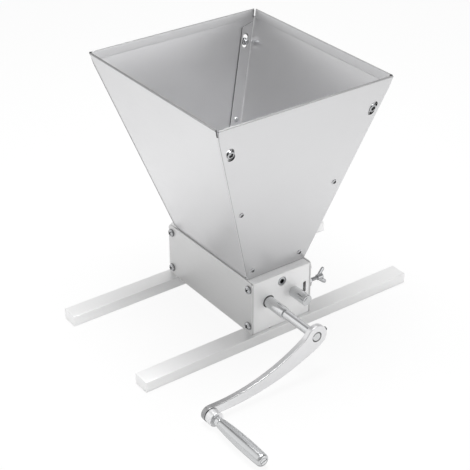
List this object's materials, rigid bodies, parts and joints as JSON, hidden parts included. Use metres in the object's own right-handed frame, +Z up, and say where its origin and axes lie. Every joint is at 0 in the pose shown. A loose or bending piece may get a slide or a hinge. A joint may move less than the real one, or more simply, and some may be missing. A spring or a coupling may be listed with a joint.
{
  "type": "malt mill",
  "caption": "Hand-cranked roller mill for malt: a flared sheet-steel hopper on a small box body, long foot bars, a curved crank with a turning grip, and wing-screw gap adjusters.",
  "frame": {"origin": "middle of the front foot bar's underside", "axes": "+X to the right and along the foot bars, +Y to the rear and along the rollers, +Z up, seen from the crank's side"},
  "size_m": [0.338, 0.3481, 0.2766],
  "materials": {
    "hopper_steel": "satin sheet",
    "plate_metal": "satin, milled",
    "cover_metal": "satin, brushed lengthwise",
    "bar_metal": "satin, drawn",
    "shaft_steel": "turned and polished",
    "roller_steel": "fluted",
    "bush_metal": "turned",
    "crank_steel": "nickel plated, satin",
    "grip_steel": "polished",
    "bright_fastener": "zinc plated",
    "nickel_fastener": "nickel plated",
    "dark_fastener": "dull"
  },
  "bodies": {
    "frame": {"front_foot_bar": "bar_metal", "rear_foot_bar": "bar_metal", "foot_bar_screws": "dark_fastener", "front_end_plate": "plate_metal", "rear_end_plate": "plate_metal", "left_cover": "cover_metal", "right_cover": "cover_metal", "cover_screws": "nickel_fastener", "hopper_front_wall": "hopper_steel", "hopper_rear_wall": "hopper_steel", "hopper_left_wall": "hopper_steel", "hopper_right_wall": "hopper_steel", "hopper_seam_rivets": "bright_fastener", "hopper_corner_screws": "nickel_fastener", "hopper_corner_nuts": "nickel_fastener", "hopper_mounting_screws": "nickel_fastener", "hopper_mounting_nuts": "dark_fastener", "front_drive_bush": "bush_metal", "rear_drive_bush": "bush_metal", "captive_nuts": "dark_fastener", "wing_flange_nuts": "nickel_fastener"},
    "crank": {"drive_shaft": "shaft_steel", "drive_roller": "roller_steel", "crank_arm": "crank_steel", "crank_set_screw": "dark_fastener", "handle_spindle": "shaft_steel", "handle_washer": "dark_fastener", "handle_collar": "crank_steel", "handle_ferrule": "shaft_steel"},
    "grip": {"handle_grip": "grip_steel"},
    "front_adjuster": {"front_adjuster": "shaft_steel"},
    "rear_adjuster": {"rear_adjuster": "shaft_steel"},
    "idler": {"idler_axle": "shaft_steel", "idler_roller": "roller_steel"},
    "front_wing_screw": {"front_wing_screw": "nickel_fastener"},
    "rear_wing_screw": {"rear_wing_screw": "nickel_fastener"}
  },
  "joints": [
    {"name": "crank_turn", "type": "hinge", "parent": "frame", "child": "crank", "pos_m": [-0.0169, 0, 0.0457], "axis": [0, -1, 0], "continuous": true},
    {"name": "grip_turn", "type": "hinge", "parent": "crank", "child": "grip", "pos_m": [-0.1437, -0.12, 0.009], "axis": [0, -1, 0], "continuous": true},
    {"name": "front_adjust", "type": "hinge", "parent": "frame", "child": "front_adjuster", "pos_m": [0.0155, 0, 0.0457], "axis": [0, -1, 0], "range_deg": [-131, 49]},
    {"name": "rear_adjust", "type": "hinge", "parent": "frame", "child": "rear_adjuster", "pos_m": [0.0155, 0.14, 0.0457], "axis": [0, -1, 0], "range_deg": [-131, 49]},
    {"name": "idler_turn", "type": "hinge", "parent": "front_adjuster", "child": "idler", "pos_m": [0.01478, 0.07, 0.04653], "axis": [0, -1, 0], "continuous": true},
    {"name": "front_wing_turn", "type": "hinge", "parent": "frame", "child": "front_wing_screw", "pos_m": [0.038, 0, 0.0457], "axis": [1, 0, 0], "range_deg": [0, 720]},
    {"name": "rear_wing_turn", "type": "hinge", "parent": "frame", "child": "rear_wing_screw", "pos_m": [0.038, 0.14, 0.0457], "axis": [1, 0, 0], "range_deg": [0, 720]}
  ],
  "couplings": [
    {"joint": "rear_adjust", "follows": "front_adjust", "ratio": 1}
  ]
}
